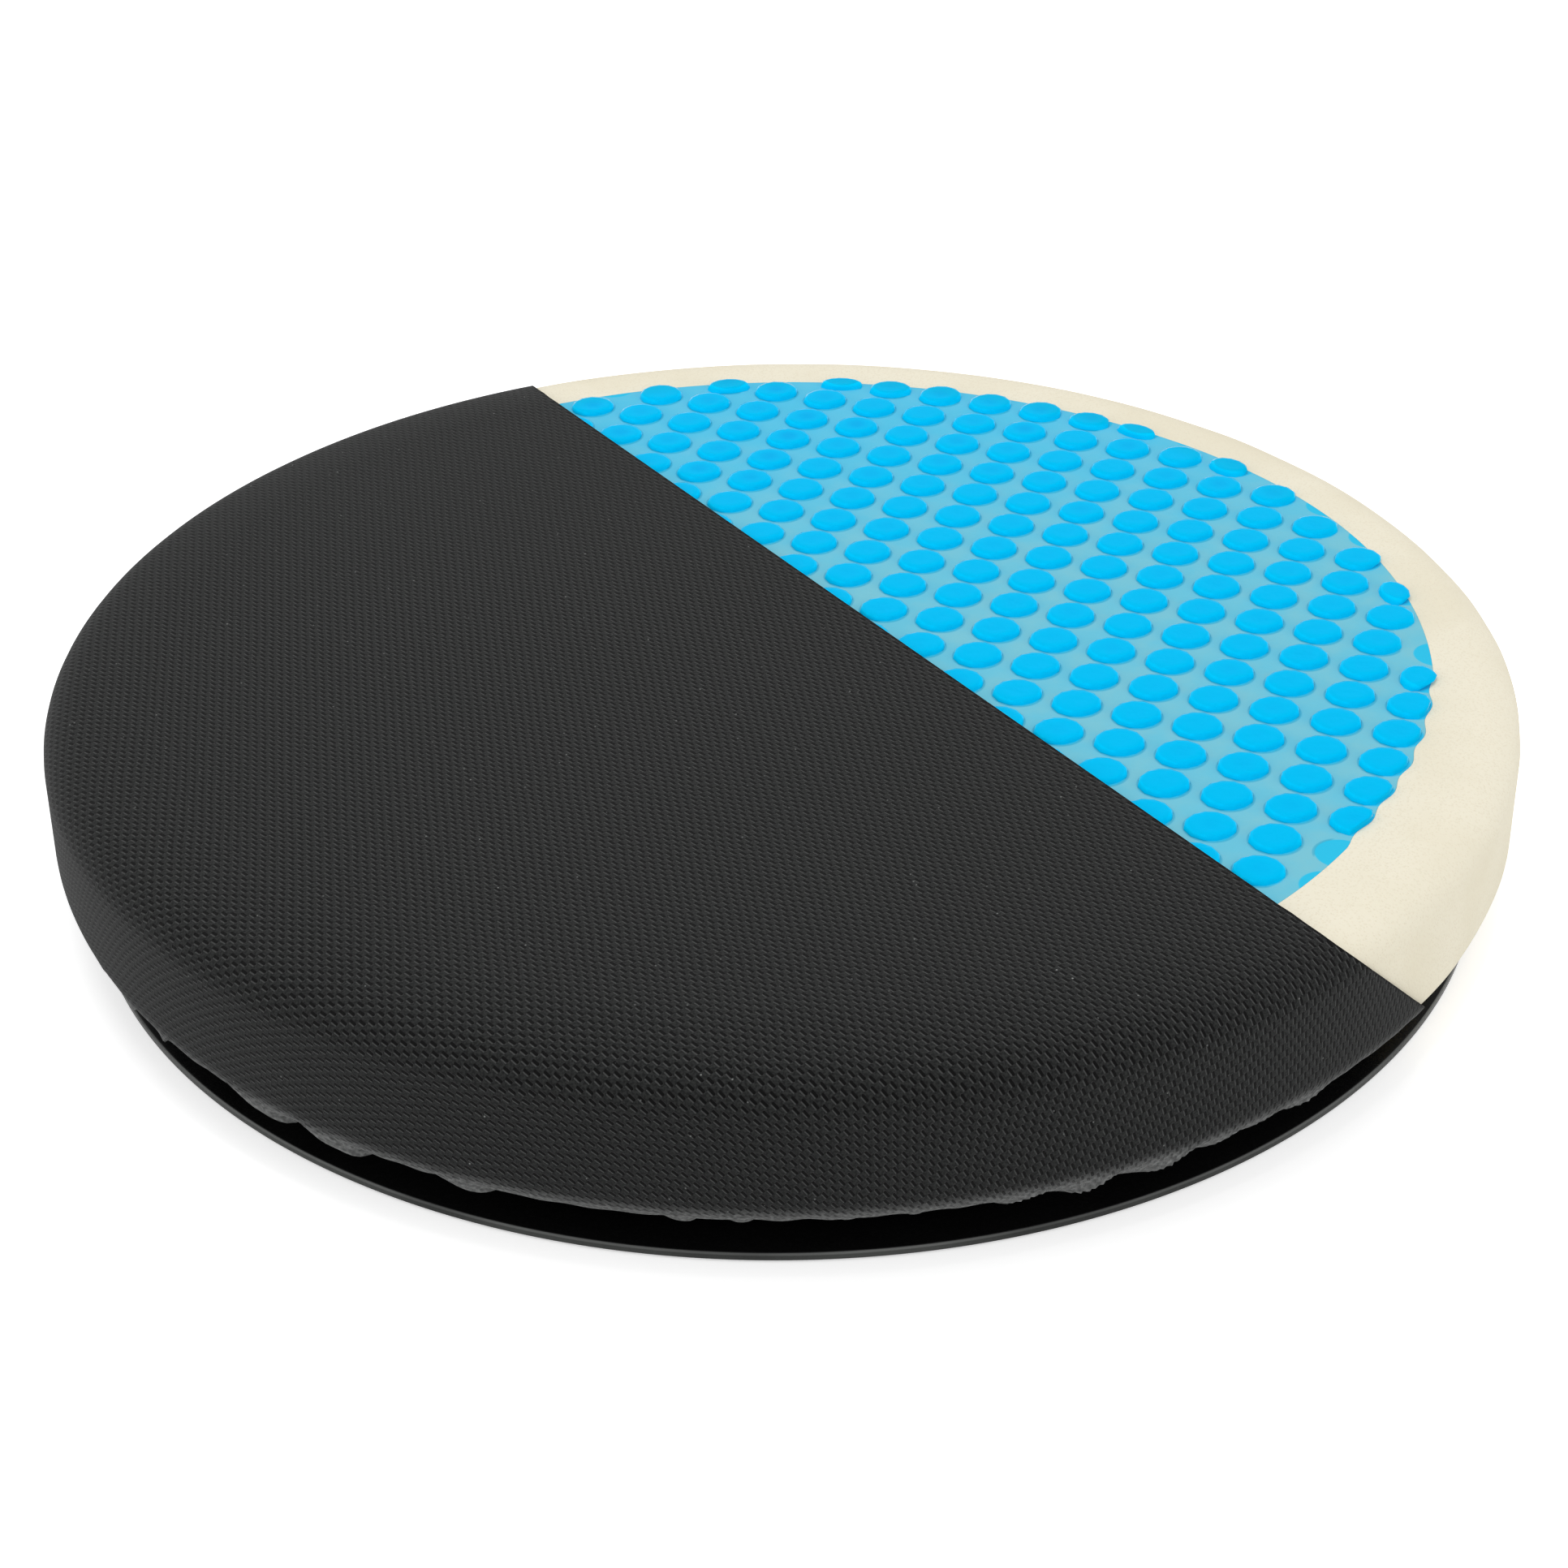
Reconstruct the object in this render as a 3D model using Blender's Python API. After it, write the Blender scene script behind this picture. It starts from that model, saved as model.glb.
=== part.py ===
"""Swivel seat cushion with its cover cut away to show the layers.

A round foam cushion, a bubble gel pad and a stretch cover sit on a plastic turntable. The
turntable runs on a caged ring of balls over a flat base, and turns about a riveted pivot.

Units are metres, +Z is up. The origin lies on the pivot axis, on the surface that the feet
stand on. Heights are worked out from the floor upwards, each layer from the one below it.
"""

import math

import bmesh
import bpy
from mathutils import Matrix, Vector

# Clearance between pieces that touch, and how finely round pieces are divided
FIT_GAP = 0.0003
ROUND_STEPS = 60
SMALL_STEPS = 20
SHARP_ANGLE = math.radians(35)
MERGE_DISTANCE = 1e-6

# Foam disc
FOAM_RADIUS = 0.199
FOAM_THICKNESS = 0.0427
FOAM_SHOULDER_RUN = 0.013
FOAM_SHOULDER_DROP = 0.0094
FOAM_FOOT_RADIUS = 0.0115
FOAM_OVERHANG = 0.021
FOAM_RIM_WIDTH = 0.0235

# Base plate
BASE_MARGIN = 0.0135
RIM_THICKNESS = 0.0025
RIM_LIFT = 0.0006
RIM_EDGE = 0.0005
WEB_THICKNESS = 0.0024
UNDERSIDE_RECESS = 0.0015
WEB_BEYOND_RACE = 0.0114
WEB_SLOPE_RUN = 0.006
RIB_COUNT = 8
RIB_WIDTH = 0.002
BASE_RIB_SETBACK = 0.0003
RING_RIB_RADIUS = 0.075
RING_RIB_STEPS = 36
RIB_ROOT = 0.0005

# Non-slip feet
PAD_COUNT = 8
PAD_RADIUS = 0.012
PAD_INSET = 0.0205
PAD_LAND = 0.0085
PAD_POCKET_DEPTH = 0.0014
PAD_STEPS = 16

# Ball race and cage
BALL_RADIUS = 0.003175
BALL_COUNT = 18
BALL_SEGMENTS = 8
BALL_RINGS = 4
TRACK_RADIUS = 0.130
RACE_FLOOR = 0.0019
RACE_ROOF = 0.003
RACE_SHOULDER = 0.0055
GROOVE_SIDES = 10
CAGE_THICKNESS = 0.0016
CAGE_CLEARANCE = 0.0007
CAGE_SIDE = 0.0035
POCKET_STEPS = 8

# Pivot rivet, bush and washers
PIVOT_RADIUS = 0.004
HEAD_RADIUS = 0.009
HEAD_THICKNESS = 0.0016
HEAD_LIFT = 0.0009
FLARE_RADIUS = 0.007
FLARE_THICKNESS = 0.001
FLARE_SINK = 0.0005
DIMPLE_RADIUS = 0.0026
DIMPLE_DEPTH = 0.0015
WASHER_THICKNESS = 0.0005
THRUST_WASHER_OVERHANG = 0.0005
RIVET_WASHER_OVERHANG = 0.0015
BUSH_WALL = 0.0017
BUSH_FLANGE_RADIUS = 0.009
BUSH_FLANGE_THICKNESS = 0.001
POCKET_CLEARANCE = 0.001
HUB_WALL = 0.0095

# Turntable
TURNTABLE_SKIN = 0.0025
TURNTABLE_EDGE = 0.001
HUB_FLOOR = 0.0018
TURNTABLE_HUB_WALL = 0.008
TURNTABLE_RIB_DROP = 0.002
SKIRT_WALL = 0.0025
SKIRT_CLEARANCE = 0.0019
LIP_REACH = 0.003
LIP_CHAMFER = 0.001

# Gel pad, a film with rows of bubbles that cross at a right angle
GEL_FILM = 0.0012
BUBBLE_RADIUS = 0.0068
BUBBLE_HEIGHT = 0.0014
BUBBLE_FLAT_RADIUS = 0.0055
BUBBLE_SIDES = 6
COVERED_BUBBLE_SIDES = 3
BUBBLE_MARGIN = 0.0002
BUBBLE_PITCH_ALONG = 0.0165
BUBBLE_PITCH_ACROSS = 0.0153
BUBBLE_ROWS_TURN = math.radians(-22.6)
BUBBLE_START_X = 0.0649
BUBBLE_START_Y = 0.0215

# Stretch cover, its elastic hem, and the plane that it is cut away at
COVER_THICKNESS = 0.0007
COVER_EASE = 0.0005
COVER_CROWN = 0.0004
COVER_CROWN_INSET = 0.0035
SHOULDER_STEPS = 3
FOOT_STEPS = 3
ELASTIC_RADIUS = 0.001
ELASTIC_SIDES = 6
HEM_WRAP = math.radians(270)
HEM_STEPS = 4
GATHER_DEPTH = 0.001
CUT_AZIMUTH = math.radians(33)
CUT_OFFSET = 0.0267
CUT_SLOPE = math.radians(46)

# Radii that follow from the foam: it overhangs the turntable, and the base stands out a little
turntable_radius = FOAM_RADIUS - FOAM_OVERHANG
gel_radius = FOAM_RADIUS - FOAM_RIM_WIDTH
base_radius = turntable_radius + BASE_MARGIN
pad_circle = base_radius - PAD_INSET
recess_radius = pad_circle - PAD_RADIUS - PAD_LAND

# Heights of the base, from the floor up
rim_top = RIM_LIFT + RIM_THICKNESS
web_bottom = RIM_LIFT + UNDERSIDE_RECESS
web_top = web_bottom + WEB_THICKNESS
pad_ceiling = RIM_LIFT + PAD_POCKET_DEPTH
pad_top = pad_ceiling - FIT_GAP

# The ball sits between two grooves that are one clearance larger than the ball
groove_radius = BALL_RADIUS + FIT_GAP
groove_floor = web_bottom + RACE_FLOOR
ball_height = groove_floor + groove_radius
race_offset = CAGE_THICKNESS / 2 + CAGE_CLEARANCE
groove_half_width = math.sqrt(groove_radius**2 - race_offset**2)
race_half_width = groove_half_width + RACE_SHOULDER
web_radius = TRACK_RADIUS + race_half_width + WEB_BEYOND_RACE

# Heights of the turntable, from the top of the race
skin_top = ball_height + groove_radius + RACE_ROOF
skin_bottom = skin_top - TURNTABLE_SKIN
skirt_bottom = rim_top + SKIRT_CLEARANCE
flare_top = skin_top - FLARE_SINK
flare_bottom = flare_top - FLARE_THICKNESS
rivet_washer_bottom = flare_bottom - FIT_GAP - WASHER_THICKNESS
hub_floor_top = rivet_washer_bottom - FIT_GAP
hub_floor_bottom = hub_floor_top - HUB_FLOOR

# Heights of the pivot in the base, where the bush flange parts the two hubs
flange_top = hub_floor_bottom - FIT_GAP
flange_bottom = flange_top - BUSH_FLANGE_THICKNESS
base_hub_top = flange_bottom - FIT_GAP
head_top = HEAD_LIFT + HEAD_THICKNESS
thrust_washer_bottom = head_top + FIT_GAP
head_pocket_ceiling = thrust_washer_bottom + WASHER_THICKNESS + FIT_GAP
bush_bottom = head_pocket_ceiling + FIT_GAP

# Radii of the pivot
bore_in_bush = PIVOT_RADIUS + FIT_GAP
bush_radius = bore_in_bush + BUSH_WALL
bore_in_base = bush_radius + FIT_GAP
thrust_washer_radius = HEAD_RADIUS + THRUST_WASHER_OVERHANG
head_pocket_radius = thrust_washer_radius + POCKET_CLEARANCE
base_hub_radius = head_pocket_radius + HUB_WALL
rivet_washer_radius = FLARE_RADIUS + RIVET_WASHER_OVERHANG
flare_pocket_radius = rivet_washer_radius + POCKET_CLEARANCE
turntable_hub_radius = flare_pocket_radius + TURNTABLE_HUB_WALL

# Foam and gel
foam_bottom = skin_top + FIT_GAP
foam_top = foam_bottom + FOAM_THICKNESS
gel_bottom = foam_top - GEL_FILM
film_top = foam_top
bubble_top = film_top + BUBBLE_HEIGHT
gel_recess_floor = gel_bottom - FIT_GAP
gel_recess_radius = gel_radius + FIT_GAP

# Cover: it follows the foam at the foot, side and shoulder, and rises over the bubbles on top
cover_radius = FOAM_RADIUS + FIT_GAP + COVER_THICKNESS
cover_crown_radius = gel_radius - COVER_CROWN_INSET
cover_crown_edge = bubble_top + COVER_EASE + COVER_THICKNESS
hem_outer = ELASTIC_RADIUS + FIT_GAP + COVER_THICKNESS
hem_radius = turntable_radius + FIT_GAP + hem_outer
hem_height = foam_bottom - FIT_GAP - hem_outer
lip_top = hem_height - hem_outer - FIT_GAP


def clear_scene():
    for obj in list(bpy.data.objects):
        bpy.data.objects.remove(obj, do_unlink=True)


def make_material(name, colour, roughness, metallic=0.0):
    material = bpy.data.materials.new(name)
    material.use_nodes = True
    shader = material.node_tree.nodes["Principled BSDF"]
    shader.inputs["Base Color"].default_value = (*colour, 1.0)
    shader.inputs["Roughness"].default_value = roughness
    shader.inputs["Metallic"].default_value = metallic
    material.diffuse_color = (*colour, 1.0)
    return material


def make_body(name):
    """An empty on the pivot axis that carries the pieces which move together."""
    body = bpy.data.objects.new(name, None)
    bpy.context.scene.collection.objects.link(body)
    return body


def make_object(name, bm, material=None, body=None):
    bmesh.ops.recalc_face_normals(bm, faces=bm.faces)
    mesh = bpy.data.meshes.new(name)
    bm.to_mesh(mesh)
    bm.free()
    mesh.shade_smooth()
    mesh.set_sharp_from_angle(angle=SHARP_ANGLE)
    obj = bpy.data.objects.new(name, mesh)
    bpy.context.scene.collection.objects.link(obj)
    if material:
        mesh.materials.append(material)
        obj.parent = body
    else:
        obj.hide_render = True
        obj.display_type = "WIRE"
    return obj


def combine(obj, tool, operation):
    """Joins a tool to an object, cuts it away, or keeps what they share."""
    modifier = obj.modifiers.new(tool.name, "BOOLEAN")
    modifier.operation = operation
    modifier.solver = "EXACT"
    modifier.object = tool


def arc(centre, run, rise, start, end, steps):
    """Points (radius, height) of an elliptical arc, from one angle to the other in degrees."""
    points = []
    for i in range(steps + 1):
        angle = math.radians(start + (end - start) * i / steps)
        points.append((centre[0] + run * math.cos(angle), centre[1] + rise * math.sin(angle)))
    return points


def turned(profile, steps, ring=True):
    """A profile of (radius, height) points turned about Z. A ring closes on itself, and a disc
    gets a flat cap at each end of its profile."""
    bm = bmesh.new()
    verts = [bm.verts.new((radius, 0, height)) for radius, height in profile]
    edges = [bm.edges.new(pair) for pair in zip(verts, verts[1:])]
    if ring:
        edges.append(bm.edges.new((verts[-1], verts[0])))
    bmesh.ops.spin(
        bm,
        geom=verts + edges,
        cent=(0, 0, 0),
        axis=(0, 0, 1),
        angle=math.tau,
        steps=steps,
        use_merge=True,
    )
    bmesh.ops.remove_doubles(bm, verts=bm.verts, dist=MERGE_DISTANCE)
    bmesh.ops.holes_fill(bm, edges=[edge for edge in bm.edges if edge.is_boundary])
    return bm


def pegs(count, circle, radius, bottom, top, sides):
    """Upright cylinders spaced evenly on a circle about Z. A flat side of each faces the axis, so
    that no corner falls on a radial edge of the turned piece it is cut from."""
    bm = bmesh.new()
    flat_side_inward = Matrix.Rotation(math.pi / sides, 4, "Z")
    for i in range(count):
        turn = Matrix.Rotation(math.tau * i / count, 4, "Z")
        place = Matrix.Translation((circle, 0, (bottom + top) / 2)) @ flat_side_inward
        bmesh.ops.create_cone(
            bm,
            cap_ends=True,
            segments=sides,
            radius1=radius,
            radius2=radius,
            depth=top - bottom,
            matrix=turn @ place,
        )
    return bm


def spokes(count, inner, outer, width, bottom, top):
    """Radial bars spaced evenly about Z, half a step round from the X axis."""
    bm = bmesh.new()
    for i in range(count):
        size = Matrix.Diagonal((outer - inner, width, top - bottom, 1))
        place = Matrix.Translation(((inner + outer) / 2, 0, (bottom + top) / 2))
        turn = Matrix.Rotation(math.tau * (i + 0.5) / count, 4, "Z")
        bmesh.ops.create_cube(bm, size=1, matrix=turn @ place @ size)
    return bm


def build_washer(name, outer, bottom, material, body):
    """A flat washer with clearance round the rivet's shank."""
    top = bottom + WASHER_THICKNESS
    profile = [(bore_in_bush, bottom), (outer, bottom), (outer, top), (bore_in_bush, top)]
    make_object(name, turned(profile, SMALL_STEPS), material, body)


def race_boss(face, root):
    """The raised ring that a ball groove is cut into."""
    inner = TRACK_RADIUS - race_half_width
    outer = TRACK_RADIUS + race_half_width
    return turned([(inner, root), (inner, face), (outer, face), (outer, root)], ROUND_STEPS)


def groove_tool(name):
    """The ball track: a round-sectioned ring, one clearance larger than the balls."""
    section = arc((TRACK_RADIUS, ball_height), groove_radius, groove_radius, 0, 360, GROOVE_SIDES)
    return make_object(name, turned(section[:-1], ROUND_STEPS))


def build_base_plate(material, body):
    rim_radius = base_radius - RIM_EDGE
    profile = [
        (web_radius, web_top),
        (web_radius + WEB_SLOPE_RUN, rim_top),
        (rim_radius, rim_top),
        (base_radius, rim_top - RIM_EDGE),
        (base_radius, RIM_LIFT + RIM_EDGE),
        (rim_radius, RIM_LIFT),
        (recess_radius, RIM_LIFT),
        (recess_radius, web_bottom),
    ]
    plate = make_object("base_plate", turned(profile, ROUND_STEPS, ring=False), material, body)

    hub_profile = [
        (base_hub_radius, RIM_LIFT),
        (base_hub_radius, base_hub_top - RIM_EDGE),
        (base_hub_radius - RIM_EDGE, base_hub_top),
    ]
    hub = turned(hub_profile, SMALL_STEPS, ring=False)
    rib_bottom = RIM_LIFT + BASE_RIB_SETBACK
    rib_top = web_bottom + RIB_ROOT
    ring_inner = RING_RIB_RADIUS - RIB_WIDTH / 2
    ring_outer = RING_RIB_RADIUS + RIB_WIDTH / 2
    ring = turned(
        [(ring_inner, rib_bottom), (ring_outer, rib_bottom), (ring_outer, rib_top), (ring_inner, rib_top)],
        RING_RIB_STEPS,
    )
    bars = spokes(
        RIB_COUNT,
        base_hub_radius - RIB_WIDTH,
        recess_radius + RIB_WIDTH,
        RIB_WIDTH,
        rib_bottom,
        rib_top,
    )
    combine(plate, make_object("tool_base_hub", hub), "UNION")
    race = race_boss(ball_height - race_offset, web_top - RIB_ROOT)
    combine(plate, make_object("tool_base_race", race), "UNION")
    combine(plate, make_object("tool_base_ring_rib", ring), "UNION")
    combine(plate, make_object("tool_base_ribs", bars), "UNION")

    below = -RIM_LIFT
    above = base_hub_top + HUB_WALL
    pivot_bore = turned(
        [
            (head_pocket_radius, below),
            (head_pocket_radius, head_pocket_ceiling),
            (bore_in_base, head_pocket_ceiling),
            (bore_in_base, above),
        ],
        SMALL_STEPS,
        ring=False,
    )
    pockets = pegs(PAD_COUNT, pad_circle, PAD_RADIUS + FIT_GAP, below, pad_ceiling, PAD_STEPS)
    combine(plate, groove_tool("tool_base_groove"), "DIFFERENCE")
    combine(plate, make_object("tool_base_bore", pivot_bore), "DIFFERENCE")
    combine(plate, make_object("tool_pad_pockets", pockets), "DIFFERENCE")


def build_pads(material, body):
    """Round rubber feet, each one in its pocket under the rim."""
    pad = pegs(1, 0, PAD_RADIUS, 0, pad_top, PAD_STEPS)
    first = make_object("non_slip_pad_1", pad, material, body)
    for i in range(PAD_COUNT):
        angle = math.tau * i / PAD_COUNT
        foot = first if i == 0 else bpy.data.objects.new(f"non_slip_pad_{i + 1}", first.data)
        if i > 0:
            bpy.context.scene.collection.objects.link(foot)
            foot.parent = body
        foot.location = (pad_circle * math.cos(angle), pad_circle * math.sin(angle), 0)
        foot.rotation_euler = (0, 0, angle)


def build_pivot(nylon, steel, base, seat):
    """A flanged bush in the base, and a rivet through it that is flared over in the turntable."""
    bush = [
        (bore_in_bush, bush_bottom),
        (bush_radius, bush_bottom),
        (bush_radius, flange_bottom),
        (BUSH_FLANGE_RADIUS, flange_bottom),
        (BUSH_FLANGE_RADIUS, flange_top),
        (bore_in_bush, flange_top),
    ]
    make_object("pivot_bush", turned(bush, SMALL_STEPS), nylon, base)
    build_washer("thrust_washer", thrust_washer_radius, thrust_washer_bottom, nylon, base)
    build_washer("rivet_washer", rivet_washer_radius, rivet_washer_bottom, steel, seat)
    rivet = [
        (HEAD_RADIUS - HEAD_THICKNESS / 2, HEAD_LIFT),
        (HEAD_RADIUS, HEAD_LIFT + HEAD_THICKNESS / 2),
        (HEAD_RADIUS, head_top),
        (PIVOT_RADIUS, head_top),
        (PIVOT_RADIUS, flare_bottom),
        (FLARE_RADIUS, flare_bottom),
        (FLARE_RADIUS - FLARE_THICKNESS / 2, flare_top),
        (DIMPLE_RADIUS, flare_top),
        (DIMPLE_RADIUS / 2, flare_top - DIMPLE_DEPTH),
    ]
    make_object("pivot_rivet", turned(rivet, SMALL_STEPS, ring=False), steel, seat)


def build_ball_ring(cage_material, steel, body):
    """Steel balls in the pockets of a flat cage, between the two races."""
    inner = TRACK_RADIUS - groove_radius - CAGE_SIDE
    outer = TRACK_RADIUS + groove_radius + CAGE_SIDE
    bottom = ball_height - CAGE_THICKNESS / 2
    top = ball_height + CAGE_THICKNESS / 2
    cage = make_object(
        "ball_cage",
        turned([(inner, bottom), (outer, bottom), (outer, top), (inner, top)], ROUND_STEPS),
        cage_material,
        body,
    )
    holes = pegs(
        BALL_COUNT, TRACK_RADIUS, groove_radius, bottom - BALL_RADIUS, top + BALL_RADIUS, POCKET_STEPS
    )
    combine(cage, make_object("tool_cage_pockets", holes), "DIFFERENCE")

    bm = bmesh.new()
    bmesh.ops.create_uvsphere(bm, u_segments=BALL_SEGMENTS, v_segments=BALL_RINGS, radius=BALL_RADIUS)
    first = make_object("bearing_ball_01", bm, steel, body)
    for i in range(BALL_COUNT):
        angle = math.tau * i / BALL_COUNT
        ball = first if i == 0 else bpy.data.objects.new(f"bearing_ball_{i + 1:02d}", first.data)
        if i > 0:
            bpy.context.scene.collection.objects.link(ball)
            ball.parent = body
        ball.location = (TRACK_RADIUS * math.cos(angle), TRACK_RADIUS * math.sin(angle), ball_height)


def build_turntable(material, body):
    lip_radius = turntable_radius + LIP_REACH
    skirt_inner = turntable_radius - SKIRT_WALL
    profile = [
        (turntable_radius - TURNTABLE_EDGE, skin_top),
        (turntable_radius, skin_top - TURNTABLE_EDGE),
        (turntable_radius, lip_top),
        (lip_radius, lip_top - LIP_CHAMFER),
        (lip_radius, skirt_bottom),
        (skirt_inner, skirt_bottom),
        (skirt_inner, skin_bottom),
    ]
    plate = make_object("turntable_plate", turned(profile, ROUND_STEPS, ring=False), material, body)
    hub = turned(
        [(turntable_hub_radius, hub_floor_bottom), (turntable_hub_radius, skin_bottom + RIB_ROOT)],
        SMALL_STEPS,
        ring=False,
    )
    bars = spokes(
        RIB_COUNT,
        turntable_hub_radius - RIB_WIDTH,
        skirt_inner + SKIRT_WALL / 2,
        RIB_WIDTH,
        skin_bottom - TURNTABLE_RIB_DROP,
        skin_bottom + RIB_ROOT,
    )
    above = skin_top + HUB_FLOOR
    below = hub_floor_bottom - HUB_FLOOR
    rivet_hole = turned(
        [
            (flare_pocket_radius, above),
            (flare_pocket_radius, hub_floor_top),
            (bore_in_bush, hub_floor_top),
            (bore_in_bush, below),
        ],
        SMALL_STEPS,
        ring=False,
    )
    combine(plate, make_object("tool_turntable_hub", hub), "UNION")
    race = race_boss(ball_height + race_offset, skin_bottom + RIB_ROOT)
    combine(plate, make_object("tool_turntable_race", race), "UNION")
    combine(plate, make_object("tool_turntable_ribs", bars), "UNION")
    combine(plate, groove_tool("tool_turntable_groove"), "DIFFERENCE")
    combine(plate, make_object("tool_rivet_hole", rivet_hole), "DIFFERENCE")


def foot_centre():
    """Centre of the rounding at the lower edge, shared by the foam and the cover."""
    return FOAM_RADIUS - FOAM_FOOT_RADIUS, foam_bottom + FOAM_FOOT_RADIUS


def shoulder_centre():
    """Centre of the rounding at the upper edge, shared by the foam and the cover."""
    return FOAM_RADIUS - FOAM_SHOULDER_RUN, foam_top - FOAM_SHOULDER_DROP


def build_foam(material, body):
    profile = [
        *arc(foot_centre(), FOAM_FOOT_RADIUS, FOAM_FOOT_RADIUS, -90, 0, FOOT_STEPS),
        *arc(shoulder_centre(), FOAM_SHOULDER_RUN, FOAM_SHOULDER_DROP, 0, 90, SHOULDER_STEPS),
        (gel_recess_radius, foam_top),
        (gel_recess_radius, gel_recess_floor),
    ]
    make_object("foam_disc", turned(profile, ROUND_STEPS, ring=False), material, body)


def bubble_centres():
    """Every place in the rows of bubbles where a whole bubble fits inside the round pad."""
    farthest = gel_radius - BUBBLE_RADIUS - BUBBLE_MARGIN
    reach = math.ceil((gel_radius + math.hypot(BUBBLE_START_X, BUBBLE_START_Y)) / BUBBLE_PITCH_ACROSS)
    start = Vector((BUBBLE_START_X, BUBBLE_START_Y))
    along = Vector((math.cos(BUBBLE_ROWS_TURN), math.sin(BUBBLE_ROWS_TURN))) * BUBBLE_PITCH_ALONG
    across = along.orthogonal().normalized() * BUBBLE_PITCH_ACROSS
    centres = []
    for i in range(-reach, reach + 1):
        for j in range(-reach, reach + 1):
            centre = start + i * along + j * across
            if centre.length < farthest:
                centres.append(centre)
    return centres


def ring_of_edges(bm, centre, radius, height, sides, turn=0.0):
    """A closed loop of edges in a flat polygon. It gives back its vertices and its edges."""
    verts = []
    for k in range(sides):
        angle = turn + math.tau * k / sides
        x = centre[0] + radius * math.cos(angle)
        y = centre[1] + radius * math.sin(angle)
        verts.append(bm.verts.new((x, y, height)))
    edges = [bm.edges.new((a, b)) for a, b in zip(verts, verts[1:] + verts[:1])]
    return verts, edges


def build_gel_pad(material, body):
    """One moulded sheet: a thin round film with a low bubble at each place in its rows. The
    bubbles are flat-topped buttons, and plain peaks where the cover hides them."""
    bm = bmesh.new()
    outline = ring_of_edges(bm, (0, 0), gel_radius, film_top, ROUND_STEPS)[1]
    film_edges = list(outline)
    cut_direction = Vector((math.cos(CUT_AZIMUTH), math.sin(CUT_AZIMUTH)))
    covered_reach = CUT_OFFSET + (cover_crown_edge - bubble_top) * math.tan(CUT_SLOPE)
    for centre in bubble_centres():
        shown = centre.dot(cut_direction) > covered_reach - BUBBLE_RADIUS
        sides = BUBBLE_SIDES if shown else COVERED_BUBBLE_SIDES
        foot, edges = ring_of_edges(bm, centre, BUBBLE_RADIUS, film_top, sides, BUBBLE_ROWS_TURN)
        film_edges += edges
        if shown:
            flat = ring_of_edges(bm, centre, BUBBLE_FLAT_RADIUS, bubble_top, sides, BUBBLE_ROWS_TURN)[0]
            bm.faces.new(flat)
            for k in range(sides):
                bm.faces.new((foot[k - 1], foot[k], flat[k], flat[k - 1]))
        else:
            crest = bm.verts.new((centre.x, centre.y, bubble_top))
            for k in range(sides):
                bm.faces.new((foot[k - 1], foot[k], crest))
    bmesh.ops.triangle_fill(bm, use_beauty=True, use_dissolve=False, edges=film_edges)
    skirt = bmesh.ops.extrude_edge_only(bm, edges=outline)["geom"]
    for vert in (element for element in skirt if isinstance(element, bmesh.types.BMVert)):
        vert.co.z = gel_bottom
    bmesh.ops.holes_fill(bm, edges=[edge for edge in bm.edges if edge.is_boundary])
    make_object("gel_pad", bm, material, body)


def cover_side(inset):
    """One face of the cover, from its level crown down to the hem. inset is 0 on the outer face
    and the fabric's thickness on the inner face."""
    off_foam = FIT_GAP + COVER_THICKNESS - inset
    crown = [
        (cover_crown_radius / 2, cover_crown_edge + COVER_CROWN - inset),
        (cover_crown_radius, cover_crown_edge - inset),
    ]
    shoulder = arc(
        shoulder_centre(),
        FOAM_SHOULDER_RUN + off_foam,
        FOAM_SHOULDER_DROP + off_foam,
        90,
        0,
        SHOULDER_STEPS,
    )
    foot_radius = FOAM_FOOT_RADIUS + off_foam
    foot = arc(foot_centre(), foot_radius, foot_radius, 0, -90, FOOT_STEPS)
    hem_curl = ELASTIC_RADIUS + FIT_GAP + inset
    hem = arc((hem_radius, hem_height), hem_curl, hem_curl, 90, 90 + math.degrees(HEM_WRAP), HEM_STEPS)
    return crown + shoulder + foot + hem


def cut_away_tool(name):
    """A block that reaches from the sloping cutting plane past the edge of the cushion."""
    size = 4 * cover_radius
    bm = bmesh.new()
    past_plane = Matrix.Translation((size / 2, 0, 0))
    slope = Matrix.Rotation(-CUT_SLOPE, 4, "Y")
    offset = Matrix.Translation((CUT_OFFSET, 0, cover_crown_edge))
    place = Matrix.Rotation(CUT_AZIMUTH, 4, "Z") @ offset @ slope @ past_plane
    bmesh.ops.create_cube(bm, size=size, matrix=place)
    return make_object(name, bm)


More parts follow.
